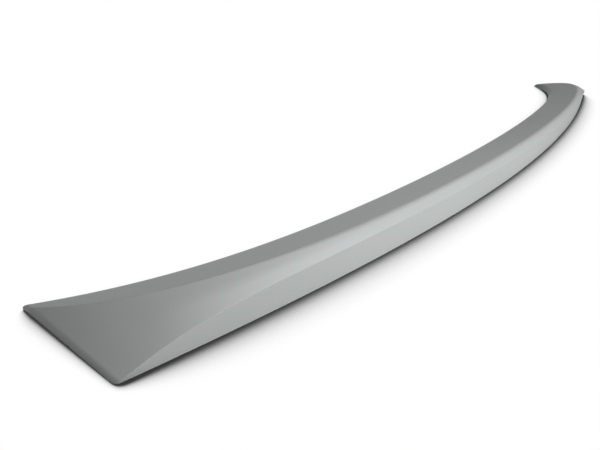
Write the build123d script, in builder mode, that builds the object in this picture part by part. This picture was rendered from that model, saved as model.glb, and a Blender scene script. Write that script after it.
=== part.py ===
"""Lip spoiler for the rear edge of a car's boot lid: one moulded shell, open underneath.

Millimetres. +X runs across the car, +Y points forward and +Z up. The shell stands on its rear
rim and its front corners, and the origin is the middle of its footprint.
"""

import os
from math import cos, radians, sin

from build123d import *

# Plan: half width, how far the rear corners lie inboard of the front ones, and distances behind
# the line through the two front corners
half_span = 605.0
end_rake = 20.0
front_bow = 113.5
rear_mid_depth = 175.0
rear_end_depth = 115.0

# Heights of the front edge, the crest and the rear crease above the surface that the rim stands on
front_mid_height = 18.0
front_end_height = 5.5
crest_mid_height = 36.0
crest_end_height = 8.0
crease_mid_height = 25.3
crease_end_height = 3.5

# How far the crest and the crease lie ahead of the rear rim at the middle, how far the crease hangs
# over the rim at the ends, and the ramp's depth from the front edge up to the crest
crest_setback = 11.0
crease_setback = 3.5
crease_overhang = 3.0
ramp_mid_depth = rear_mid_depth - front_bow - crest_setback
ramp_end_depth = 9.0

# Wall, turned-down front lip, how far the lip's foot leads its edge, and rounded edges
wall = 4.0
front_lip = 10.0
lip_lead = 4.0
front_radius = 1.5
crest_radius = 6.0
crease_radius = 3.0
end_radius = 3.5
sharpest_radius = 0.5

# The most of the rear face's height that the crease's radius may take
crease_room = 0.5

# How late along the width each change from the middle to the end sets in
front_bow_share = 0.48
front_bow_power = 7.25
rear_bow_power = 2.0
front_fall_power = 9.4
crest_fall_power = 13.0
crease_fall_power = 13.6
crease_ease_power = 1.2
ramp_power = 19.5
setback_power = 8.0

# Sections on each side of the middle, closer together towards the ends, and in each rounded end
side_sections = 11
end_sections = 5

# How far the raw sections run on below the standing surface, before they are trimmed there
outer_spare = 10.0
inner_spare = 2 * outer_spare


def change(middle, end, share):
    """A size on its way from its middle value to its end value."""
    return middle + (end - middle) * share


def section_plane(station):
    """The upright plane through the front and rear edges at a station from -1 to 1."""
    along = abs(station)
    bow = front_bow_share * along**2 + (1 - front_bow_share) * along**front_bow_power
    front = Vector(half_span * station, -change(front_bow, 0, bow), 0)
    rear_depth = change(rear_mid_depth, rear_end_depth, along**rear_bow_power)
    rear = Vector((half_span - end_rake) * station, -rear_depth, 0)
    backward = (rear - front).normalized()
    plane = Plane(origin=front, x_dir=backward, z_dir=backward.cross(Vector(0, 0, 1)))
    return plane, (rear - front).length


def skin_corners(station, depth):
    """Lip, front edge, crest, rear crease and rear rim of the outer skin, in the section's plane."""
    along = abs(station)
    front_height = change(front_mid_height, front_end_height, along**front_fall_power)
    crest_height = change(crest_mid_height, crest_end_height, along**crest_fall_power)
    crease_fall = 1 - (1 - along**crease_fall_power) ** crease_ease_power
    crease_height = change(crease_mid_height, crease_end_height, crease_fall)
    ramp_depth = change(ramp_mid_depth, ramp_end_depth, along**ramp_power)
    crease_depth = depth - change(crease_setback, -crease_overhang, along**setback_power)
    return [
        Vector(-lip_lead, front_height - front_lip),
        Vector(0, front_height),
        Vector(ramp_depth, crest_height),
        Vector(crease_depth, crease_height),
        Vector(depth, 0),
    ]


def inset_line(start, end, inset):
    """The line at a distance inside one side of the section."""
    side = (end - start).normalized()
    inward = Vector(side.Y, -side.X) * inset
    return start + inward, end + inward


def meeting(first, second):
    """The point where two lines of a section meet."""
    along = first[1] - first[0]
    across = second[1] - second[0]
    gap = second[0] - first[0]
    share = (gap.X * across.Y - gap.Y * across.X) / (along.X * across.Y - along.Y * across.X)
    return first[0] + along * share


def level(height):
    """A level line across a section."""
    return Vector(0, height), Vector(1, height)


def inset_corners(corners, insets, low_front, low_rear):
    """The skin's corners with each side moved inward, cut off at the two low heights."""
    ends = zip(corners, corners[1:])
    sides = [inset_line(start, end, inset) for (start, end), inset in zip(ends, insets)]
    tops = [meeting(first, second) for first, second in zip(sides, sides[1:])]
    return [meeting(level(low_front), sides[0]), *tops, meeting(sides[-1], level(low_rear))]


def edge_radii(crease_height, inset):
    """Radii of the front edge, the crest and the rear crease."""
    radii = (front_radius, crest_radius, min(crease_radius, crease_room * crease_height))
    return [max(radius - inset, sharpest_radius) for radius in radii]


def outer_section(station, inset=0.0):
    """One section of the outer skin, filled down to the standing surface."""
    plane, depth = section_plane(station)
    corners = skin_corners(station, depth)
    lip_height = corners[0].Y
    points = inset_corners(corners, (0, inset, inset, inset), lip_height, -outer_spare)
    middle = depth / 2
    with BuildSketch(plane) as sketch:
        with BuildLine():
            FilletPolyline(*points, radius=edge_radii(corners[3].Y, inset))
            Polyline(points[-1], (middle, -outer_spare), (middle, lip_height), points[0])
        make_face()
    return sketch.sketch


def inner_section(station):
    """One section of the space inside, open towards the standing surface."""
    plane, depth = section_plane(station)
    corners = skin_corners(station, depth)
    points = inset_corners(corners, (wall,) * 4, -inner_spare, -inner_spare)
    with BuildSketch(plane) as sketch:
        with BuildLine():
            FilletPolyline(*points, radius=edge_radii(corners[3].Y, wall))
            Line(points[-1], points[0])
        make_face()
    return sketch.sketch


def stations(end_gap):
    """Places along the width, up to a gap before each end."""
    reach = 1 - end_gap / half_span
    turns = range(-side_sections, side_sections + 1)
    return [reach * sin(radians(90 * turn / side_sections)) for turn in turns]


def rounded_end(side):
    """Sections of one rounded end, from the plain skin to the end wall."""
    angles = [radians(90 * turn / (end_sections - 1)) for turn in range(end_sections)]
    gaps = [end_radius * (1 - sin(angle)) for angle in angles]
    insets = [end_radius * (1 - cos(angle)) for angle in angles]
    return [outer_section(side * (1 - gap / half_span), inset) for gap, inset in zip(gaps, insets)]


with BuildPart() as spoiler:
    loft(sections=[outer_section(station) for station in stations(end_radius)])
    for side in (-1, 1):
        loft(sections=rounded_end(side))
    split(bisect_by=Plane.XY, keep=Keep.TOP)
    loft(sections=[inner_section(station) for station in stations(wall)], mode=Mode.SUBTRACT)

box = spoiler.part.bounding_box()
spoiler.part.move(Location((0, -box.center().Y, 0)))
spoiler.part.label = "spoiler"
os.makedirs("parts", exist_ok=True)
export_step(spoiler.part, "parts/spoiler.step")
print("width", box.size.X, "depth", box.size.Y, "height", box.max.Z, "volume", spoiler.part.volume)
print("front corners lie", -box.center().Y, "ahead of the origin")
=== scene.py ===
# %% [markdown]
# # A lip spoiler in grey primer
#
# The object is one moulded shell that is bonded along the rear edge of a car's boot lid. It comes from
# the factory in a satin grey primer, ready for paint, and here it lies on a white floor. The first step
# loads the measured model, which gives the frame that everything else is set against.

# %% Load the measured model
from math import atan2, cos, pi, radians, sin, tan

import bpy
from mathutils import Matrix, Vector


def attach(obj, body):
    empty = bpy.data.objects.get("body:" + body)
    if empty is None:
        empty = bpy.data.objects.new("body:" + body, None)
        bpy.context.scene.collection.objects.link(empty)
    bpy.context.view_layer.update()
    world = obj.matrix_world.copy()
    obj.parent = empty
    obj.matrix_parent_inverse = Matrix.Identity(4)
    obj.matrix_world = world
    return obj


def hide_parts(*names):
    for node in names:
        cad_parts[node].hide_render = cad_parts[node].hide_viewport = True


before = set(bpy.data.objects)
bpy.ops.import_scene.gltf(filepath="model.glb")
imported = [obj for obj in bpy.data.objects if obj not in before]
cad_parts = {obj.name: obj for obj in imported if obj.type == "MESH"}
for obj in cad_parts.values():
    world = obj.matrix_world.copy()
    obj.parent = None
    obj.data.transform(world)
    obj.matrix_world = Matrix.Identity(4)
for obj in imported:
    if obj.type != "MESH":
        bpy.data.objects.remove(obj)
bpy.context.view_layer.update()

# %% [markdown]
# ## The camera
#
# The photograph was taken from behind the spoiler's left end, a little above it, with a wide lens. A
# camera could be moved by hand until the outline fits. Here its place and turn were worked out from the
# outline, so they are written down as numbers: the turn round the object, the height of the view and a
# very small tilt.

# %% Place the camera
eye = Vector((-0.6150, -0.2175, 0.2092))
view_turn = radians(-45.86)
view_height = radians(31.58)
view_tilt = radians(0.41)
backward = Vector((sin(view_turn) * cos(view_height), -cos(view_turn) * cos(view_height), sin(view_height)))
level_right = Vector((cos(view_turn), sin(view_turn), 0))
level_up = backward.cross(level_right)
right = level_right * cos(view_tilt) + level_up * sin(view_tilt)
up = level_up * cos(view_tilt) - level_right * sin(view_tilt)

bpy.ops.object.select_all(action="DESELECT")
bpy.ops.object.camera_add()
camera = bpy.context.object
facing = Matrix((right, up, backward)).transposed().to_4x4()
camera.matrix_world = Matrix.Translation(eye) @ facing
camera.data.lens = 23.08
camera.data.sensor_width = 36
camera.data.shift_x = 0.001
camera.data.shift_y = 0.0082
camera.data.clip_start = 0.01
bpy.context.scene.camera = camera
print("camera at", [round(value, 4) for value in camera.location])

# %% [markdown]
# ## The lines of the shell
#
# Five lines run across the width of such a spoiler: the foot of its turned-down front lip, the front
# edge, the crest, the rear crease and the rear rim. Each one keeps its height for most of the width and
# then falls fast towards the ends. A power of the distance from the middle gives that: the higher the
# power, the later the fall. These are the sizes of the measured model, in metres. A pair holds the size
# at the middle and at the ends.

# %% Sizes of the shell
half_span = 0.605
end_rake = 0.020
front_bow = 0.1135
rear_depths = (0.175, 0.115)
front_heights = (0.018, 0.0055)
crest_heights = (0.036, 0.008)
crease_heights = (0.0253, 0.0035)
crest_setback = 0.011
crease_setbacks = (0.0035, -0.003)
ramp_depths = (rear_depths[0] - front_bow - crest_setback, 0.009)
wall = 0.004
front_lip = 0.010
lip_lead = 0.004
front_corner_line = 0.08642
print("the front corners lie", front_corner_line, "ahead of the origin")

# %% How late along the width each size changes
front_bow_share = 0.48
front_bow_power = 7.25
rear_bow_power = 2
front_fall_power = 9.4
crest_fall_power = 13
crease_fall_power = 13.6
crease_ease_power = 1.2
ramp_power = 19.5
setback_power = 8


def change(sizes, share):
    """A size on its way from its value at the middle to its value at the ends."""
    return sizes[0] + (sizes[1] - sizes[0]) * share


def section_line(station):
    """Where a section starts on the front edge, which way it runs to the rear, and how deep it is."""
    along = abs(station)
    bow = front_bow_share * along**2 + (1 - front_bow_share) * along**front_bow_power
    front = Vector((half_span * station, front_corner_line - front_bow * (1 - bow), 0))
    rear_depth = change(rear_depths, along**rear_bow_power)
    rear = Vector(((half_span - end_rake) * station, front_corner_line - rear_depth, 0))
    return front, (rear - front).normalized(), (rear - front).length


middle_depth, end_depth = (round(section_line(station)[2], 4) for station in (0, 1))
print("the shell is", middle_depth, "deep at the middle and", end_depth, "at the ends")

# %% [markdown]
# ## The band between the crest and the crease
#
# On a moulding like this, no broad face is quite flat: the band between the crest and the crease swells
# out by a millimetre or two. The photograph shows it as a soft change of tone. A sixth corner between the
# crest and the crease, rounded with a very large radius, gives that. The swell grows outward and dies out
# before the ends.

# %% Corners of one section
swell_shares = (0.06, 0.56)
swell_power = 10
swell_end = 0.95
swell_end_power = 12
least_swell = 0.002


def swell_share(along):
    """How far the band swells, as a share of its own breadth."""
    fade = max(1 - (along / swell_end)**swell_end_power, 0)**2
    return least_swell + change(swell_shares, along**swell_power) * fade


def skin_corners(station):
    """Lip foot, front edge, crest, swell, crease and rim of one section: distance to the rear, and height."""
    along = abs(station)
    depth = section_line(station)[2]
    front_height = change(front_heights, along**front_fall_power)
    foot = Vector((-lip_lead, front_height - front_lip))
    crest = Vector((change(ramp_depths, along**ramp_power), change(crest_heights, along**crest_fall_power)))
    crease_depth = depth - change(crease_setbacks, along**setback_power)
    crease_fall = 1 - (1 - along**crease_fall_power)**crease_ease_power
    crease = Vector((crease_depth, change(crease_heights, crease_fall)))
    outward = Vector((crest.y - crease.y, crease.x - crest.x))
    swell = crest.lerp(crease, 0.5) + outward * swell_share(along)
    return [foot, Vector((0, front_height)), crest, swell, crease, Vector((depth, 0))]


middle_corners = skin_corners(0)
print("middle section", [tuple(round(value, 4) for value in corner) for corner in middle_corners])

# %% [markdown]
# ## One section through the wall
#
# Cut across, the shell is a thin bent strip: the outer skin runs from the lip's foot over the front edge,
# the crest and the crease down to the rim, and the inner skin runs back at one wall's distance. The edges
# of a moulding are never sharp, so each corner is replaced by a short arc of points that touches both its
# sides.


# %% Move the sides of a section inward
def inset_line(start, end, inset):
    """A line at a distance inside one side of the section."""
    side = (end - start).normalized()
    inward = Vector((side.y, -side.x)) * inset
    return start + inward, end + inward


def meeting(first, second):
    """The point where two lines of a section meet."""
    along = first[1] - first[0]
    across = second[1] - second[0]
    return first[0] + along * ((second[0] - first[0]).cross(across) / along.cross(across))


def level(height):
    """A level line across a section."""
    return Vector((0, height)), Vector((1, height))


def inset_corners(corners, insets):
    """The corners with each side moved inward, from the lip's foot, or the floor if higher, to the rim."""
    low_front = max(corners[0].y, 0)
    sides = [inset_line(*ends, inset) for ends, inset in zip(zip(corners, corners[1:]), insets)]
    tops = [meeting(first, second) for first, second in zip(sides, sides[1:])]
    return [meeting(level(low_front), sides[0]), *tops, meeting(sides[-1], level(0))]


wall_insets = (wall,) * 5
inner_crest = inset_corners(middle_corners, wall_insets)[2]
print("under the crest, the inner skin is", round(inner_crest.y, 4), "high at the middle")

# %% Round the corners of a section
# The most of its shorter side that an arc takes, at the front edge, the crest, the swell and the crease
room_shares = (0.48, 0.6, 0.38, 0.6)


def corner_arc(last, corner, following, radius, share, steps):
    """Points on the arc that rounds a corner between two others."""
    before = (last - corner).normalized()
    after = (following - corner).normalized()
    turn = pi - before.angle(after)
    room = min((last - corner).length, (following - corner).length)
    reach = min(radius * tan(turn / 2), share * room)
    radius = reach / tan(turn / 2)
    middle = (before + after).normalized()
    centre = corner + middle * (radius / cos(turn / 2))
    side = Vector((-middle.y, middle.x))
    swings = [turn * (step / steps - 0.5) for step in range(steps + 1)]
    arc = [centre + (side * sin(swing) - middle * cos(swing)) * radius for swing in swings]
    start = corner + before * reach
    if (arc[0] - start).length > (arc[-1] - start).length:
        arc.reverse()
    return arc


def rounded_path(corners, radii, arc_steps, side_steps):
    """Points along the corners: each side in even steps, and each corner as an arc."""
    points = [corners[0]]
    neighbours = zip(corners, corners[1:], corners[2:])
    for three, radius, share, steps, runs in zip(neighbours, radii, room_shares, arc_steps, side_steps):
        arc = corner_arc(*three, radius, share, steps)
        points += [points[-1].lerp(arc[0], step / runs) for step in range(1, runs)]
        points += arc
    runs = side_steps[-1]
    points += [points[-1].lerp(corners[-1], step / runs) for step in range(1, runs + 1)]
    return points


print("an arc takes at most", room_shares, "of its shorter side")

# %% The ring of points round one section
front_radius = 0.0015
crest_radius = 0.006
swell_radius = 1.0
sharpest_radius = 0.0001
crease_radii = (0.003, sharpest_radius)
sharpening_pace, sharpening_power = 1.1, 3
# Steps in each arc, and along each side between the arcs
outer_arcs, outer_runs = (5, 8, 8, 10), (3, 10, 3, 3, 7)
inner_arcs, inner_runs = (3, 3, 4, 3), (3, 8, 3, 3, 6)


def edge_radii(station, inset):
    """Radii of front edge, crest, swell and crease at an inset. The crease sharpens towards the ends."""
    sharpness = min(sharpening_pace * abs(station), 1)**sharpening_power
    radii = (front_radius, crest_radius, swell_radius, change(crease_radii, sharpness))
    return [max(radius - inset, sharpest_radius) for radius in radii]


def outer_path(station, inset=0.0):
    """The outer skin of one section, from the lip's foot to the rim."""
    points = inset_corners(skin_corners(station), (0, inset, inset, inset, inset))
    return rounded_path(points, edge_radii(station, inset), outer_arcs, outer_runs)


def inner_path(station, hollow):
    """The inner skin of one section, from the rim to the lip's foot. A solid end is flat underneath."""
    points = inset_corners(skin_corners(station), wall_insets)
    path = rounded_path(points, edge_radii(station, wall), inner_arcs, inner_runs)
    path.reverse()
    return [Vector((point.x, max(point.y, 0) if hollow else 0)) for point in path]


def ring(station, inset, hollow):
    """All points round one section, placed across the width."""
    front, to_rear, _ = section_line(station)
    path = outer_path(station, inset) + inner_path(station, hollow)
    return [front + to_rear * point.x + Vector((0, 0, point.y)) for point in path]


outer_count = len(outer_path(0))
ring_count = len(ring(0, 0, True))
print(outer_count, "points on the outer skin,", ring_count, "round the whole section")

# %% [markdown]
# ## Stations across the width
#
# The rings stand closer together towards the ends, where the lines fall fast. The last few of them draw
# in a little, one after the other, and that rounds the edge of the end wall. The hollow stops one wall
# before the end: the next ring stands a hair further out and is flat underneath, so the two of them make
# the hollow's end.

# %% Choose the stations
side_rings = 90
end_rings = 8
end_radius = 0.0035
hair = 0.00002
hollow_reach = 1 - wall / half_span
rings_half = []
for turn in range(side_rings + 1):
    rings_half.append((hollow_reach * sin(radians(90 * turn / side_rings)), 0.0, True))
rings_half.append((hollow_reach + hair / half_span, 0.0, False))
for turn in range(end_rings + 1):
    angle = radians(90 * turn / end_rings)
    gap = end_radius * (1 - sin(angle))
    rings_half.append((1 - gap / half_span, end_radius * (1 - cos(angle)), False))
stations = [(-station, inset, hollow) for station, inset, hollow in reversed(rings_half[1:])] + rings_half
print(len(stations), "rings from end to end")

# %% [markdown]
# ## The shell
#
# A lofted shell can be drawn as a tube. It starts as a cylinder that lies along the width, with one side
# for each point of a section. Subdividing its long edges gives one loop for each station, and then every
# loop is moved to its own section. The two flat caps of the cylinder become the end walls, so the shell
# is closed all round. Blender makes 100 cuts at most in one go, so the long edges are halved first.

# %% Make the tube
tube_turn = (0, pi / 2, 0)
long_edge = 0.001


def cut_across(cuts):
    """Cut every long edge of the tube into equal parts."""
    bpy.ops.object.mode_set(mode="EDIT")
    bpy.ops.mesh.select_mode(type="EDGE")
    bpy.ops.mesh.select_all(action="DESELECT")
    bpy.ops.object.mode_set(mode="OBJECT")
    for edge in shell.data.edges:
        start, end = (shell.data.vertices[place].co for place in edge.vertices)
        edge.select = abs(start.x - end.x) > long_edge
    bpy.ops.object.mode_set(mode="EDIT")
    bpy.ops.mesh.subdivide(number_cuts=cuts)
    bpy.ops.object.mode_set(mode="OBJECT")


bpy.ops.object.select_all(action="DESELECT")
bpy.ops.mesh.primitive_cylinder_add(vertices=ring_count, end_fill_type="NGON", rotation=tube_turn)
shell = bpy.context.object
shell.name = "spoiler_shell"
bpy.ops.object.transform_apply(location=True, rotation=True, scale=True)
cut_across(1)
cut_across(len(stations) // 2 - 1)
print(len(shell.data.vertices), "points in the tube, and", len(stations) * ring_count, "are needed")

# %% Move every loop to its section
sections = [ring(*station) for station in stations]
first_turn = atan2(shell.data.vertices[0].co.z, shell.data.vertices[0].co.y)
inside = []
for vertex in shell.data.vertices:
    loop = round((vertex.co.x + 1) / 2 * (len(stations) - 1))
    spot = round((atan2(vertex.co.z, vertex.co.y) - first_turn) / (2 * pi) * ring_count) % ring_count
    vertex.co = sections[loop][spot]
    inside.append(float(spot >= outer_count))
shell.data.update()
lining = shell.data.attributes.new("lining", "FLOAT", "POINT")
lining.data.foreach_set("value", inside)
print("moved", len(inside), "points,", int(sum(inside)), "of them on the lining")

# %% Close, smooth and place the shell
same_point = 0.000001
smooth_angle = radians(35)
bpy.ops.object.mode_set(mode="EDIT")
bpy.ops.mesh.select_all(action="SELECT")
bpy.ops.mesh.remove_doubles(threshold=same_point)
bpy.ops.mesh.normals_make_consistent(inside=False)
bpy.ops.object.mode_set(mode="OBJECT")
bpy.ops.object.shade_smooth_by_angle(angle=smooth_angle)
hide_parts("spoiler")
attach(shell, "root")
print("shell with", len(shell.data.polygons), "faces")

# %% [markdown]
# ## Writing shader maths
#
# A material is a graph of nodes. Wiring it by hand takes many lines, so this small class wraps a socket:
# sums and products of wrapped sockets add Math nodes, and one function adds any other node with its
# settings and inputs.


# %% A socket that can be calculated with
class Wire:
    """One output of a node, with sums and products."""

    def __init__(self, tree, socket):
        self.tree = tree
        self.socket = socket

    def calculate(self, operation, first, second):
        return add_node(self.tree, "ShaderNodeMath", {"operation": operation}, in0=first, in1=second)

    def __add__(self, other):
        return self.calculate("ADD", self, other)

    def __radd__(self, other):
        return self.calculate("ADD", other, self)

    def __mul__(self, other):
        return self.calculate("MULTIPLY", self, other)

    def __rmul__(self, other):
        return self.calculate("MULTIPLY", other, self)


print("sockets can be added and multiplied")


# %% Add a node
def set_stops(ramp, stops):
    """Give a colour ramp its greys, as pairs of a place and a shade."""
    marks = ramp.elements
    marks[0].position, marks[-1].position = stops[0][0], stops[-1][0]
    for place, _ in stops[1:-1]:
        marks.new(place)
    for mark, (_, shade) in zip(marks, stops):
        mark.color = (shade, shade, shade, 1)


def add_node(tree, kind, settings=None, output=0, **inputs):
    """Add a node, set it up, fill or link its inputs, and wrap one of its outputs, if it has any."""
    node = tree.nodes.new(kind)
    for name, value in (settings or {}).items():
        if name == "stops":
            set_stops(node.color_ramp, value)
        else:
            setattr(node, name, value)
    for name, value in inputs.items():
        numbered = name[:2] == "in" and name[2:].isdigit()
        socket = node.inputs[int(name[2:])] if numbered else node.inputs[name.replace("_", " ")]
        if isinstance(value, Wire):
            tree.links.new(value.socket, socket)
        else:
            socket.default_value = value
    return Wire(tree, node.outputs[output]) if node.outputs else None


def new_material(name):
    """An empty material, and its graph."""
    material = bpy.data.materials.new(name)
    material.use_nodes = True
    material.node_tree.nodes.clear()
    return material, material.node_tree


print("shader helpers are ready")

# %% [markdown]
# ## Grey primer
#
# Primer is sprayed in thin passes and left satin, so that paint grips it. Close up it has a fine dry
# grain, and over a hand's width its shade drifts a little where the passes overlap. Underneath, the bare
# moulding shows: it is darker and duller, with some overspray on it. The lining of the shell carries a
# mark for that.

# %% Colour of the primer
light_coat = (0.343, 0.358, 0.355, 1)
dark_coat = (0.310, 0.324, 0.321, 1)
bare_moulding = (0.085, 0.087, 0.09, 1)
drift_part = 0.75
overspray = 0.45


def blend(share, first, second):
    """One colour that passes into another."""
    return add_node(share.tree, "ShaderNodeMix", {"data_type": "RGBA"}, 2, in0=share, in6=first, in7=second)


primer, tree = new_material("grey_primer")
place = add_node(tree, "ShaderNodeTexCoord", output="Object")
lined = add_node(tree, "ShaderNodeAttribute", {"attribute_name": "lining"}, output="Fac")
drift = add_node(tree, "ShaderNodeTexNoise", Vector=place, Scale=9.0, Detail=3.0, Roughness=0.5)
grain = add_node(tree, "ShaderNodeTexNoise", Vector=place, Scale=900.0, Detail=2.0, Roughness=0.6)
speckle = add_node(tree, "ShaderNodeTexNoise", Vector=place, Scale=160.0, Detail=4.0, Roughness=0.7)
coat = blend(drift_part * drift + (1 - drift_part) * grain, dark_coat, light_coat)
colour = blend(lined * (1 - overspray + overspray * speckle), coat, bare_moulding)
print("colour made of", len(tree.nodes), "nodes")

# %% Surface of the primer
satin = 0.46
drift_dulling = 0.08
grain_dulling = 0.05
lining_dulling = 0.12
grain_part = 0.7

roughness = satin + drift_dulling * drift + grain_dulling * grain + lining_dulling * lined
height = grain_part * grain + (1 - grain_part) * speckle
surface = add_node(tree, "ShaderNodeBump", Strength=0.12, Distance=0.0002, Height=height)
skin = add_node(tree, "ShaderNodeBsdfPrincipled", Base_Color=colour, Roughness=roughness, Normal=surface)
add_node(tree, "ShaderNodeOutputMaterial", Surface=skin)
shell.data.materials.clear()
shell.data.materials.append(primer)
print("primer made of", len(tree.nodes), "nodes")

# %% [markdown]
# ## Floor
#
# The spoiler lies on plain white, with a soft dark contact shadow where it meets the floor. Such a
# white can be lit until it clips, but that would wash out the spoiler too. Here the camera and mirrored
# rays see a white with a painted shadow: it is dimmed where the spoiler closes off the open air above
# a spot, and scattered light meets a plain floor.

# %% Lay the floor
floor_size = 30
floor_drop = 0.0002
floor_grey = (0.4, 0.4, 0.4, 1)
painted_shadow_reach = 0.05
# How open the air above a spot is, and the white, darkened by a painted shadow, that is seen there
painted_shadow_fade = ((0.59, 0.04), (0.68, 0.33), (0.74, 0.6), (0.91, 1.0))


def direct_rays(tree):
    """1 for rays from the camera, mirrored ones and ones that were let through, 0 for scattered ones."""
    camera_ray = add_node(tree, "ShaderNodeLightPath", output="Is Camera Ray")
    rays = camera_ray.socket.node.outputs
    return camera_ray + Wire(tree, rays["Is Glossy Ray"]) + Wire(tree, rays["Is Transmission Ray"])


bpy.ops.object.select_all(action="DESELECT")
bpy.ops.mesh.primitive_plane_add(size=floor_size, location=(0, 0, -floor_drop))
floor = bpy.context.object
floor.name = "floor"
paper, tree = new_material("white_floor")
# Painted shadow: the white seen on the floor is darkened where the spoiler closes off the air above it
openness = add_node(tree, "ShaderNodeAmbientOcclusion", {"samples": 32}, output="AO", Distance=painted_shadow_reach)
white_with_painted_shadow = add_node(tree, "ShaderNodeValToRGB", {"stops": painted_shadow_fade}, Fac=openness)
glow = add_node(tree, "ShaderNodeEmission", Color=white_with_painted_shadow, Strength=1.0)
plain = add_node(tree, "ShaderNodeBsdfDiffuse", Color=floor_grey)
mixed = add_node(tree, "ShaderNodeMixShader", in0=direct_rays(tree), in1=plain, in2=glow)
add_node(tree, "ShaderNodeOutputMaterial", Surface=mixed)
floor.data.materials.append(paper)
print("floor made of", len(tree.nodes), "nodes")

# %% [markdown]
# ## Light
#
# The rear face and the band above it are bright, the ramp is grey, and the near end falls off into a
# darker grey. One large panel low behind the spoiler gives the first. A small panel above the left half
# lights the band there, and another one, just past the top, keeps the ramp from going dark. The room adds
# a little even light.

# %% Set the lamps
aim_forward = -0.05
aim_height = 0.02


def panel(name, across, height, distance, size, power):
    """A square soft panel that looks at a spot across the width, raised from straight behind by an angle."""
    aim = Vector((across, aim_forward, aim_height))
    away = Vector((0, -cos(height), sin(height)))
    bpy.ops.object.select_all(action="DESELECT")
    bpy.ops.object.light_add(type="AREA", location=aim + away * distance)
    lamp = bpy.context.object
    lamp.name = name
    lamp.data.size = size
    lamp.data.energy = power
    lamp.rotation_euler = away.to_track_quat("Z", "Y").to_euler()
    print(name, "at", [round(value, 3) for value in lamp.location])


panel("low_panel", across=-0.1, height=radians(15), distance=1.1, size=0.7, power=12.8)
panel("high_panel", across=-0.35, height=radians(50), distance=0.6, size=0.4, power=1.9)
panel("over_panel", across=-0.35, height=radians(110), distance=0.5, size=0.4, power=0.59)

# %% Light the room
white = (1, 1, 1, 1)
world = bpy.data.worlds.new("room")
bpy.context.scene.world = world
world.use_nodes = True
tree = world.node_tree
tree.nodes.clear()
even_light = add_node(tree, "ShaderNodeBackground", Color=white, Strength=0.08)
white_back = add_node(tree, "ShaderNodeBackground", Color=white, Strength=1.0)
backdrop = add_node(tree, "ShaderNodeMixShader", in0=direct_rays(tree), in1=even_light, in2=white_back)
add_node(tree, "ShaderNodeOutputWorld", Surface=backdrop)
bpy.context.scene.view_settings.view_transform = "Standard"
print("room made of", len(tree.nodes), "nodes")
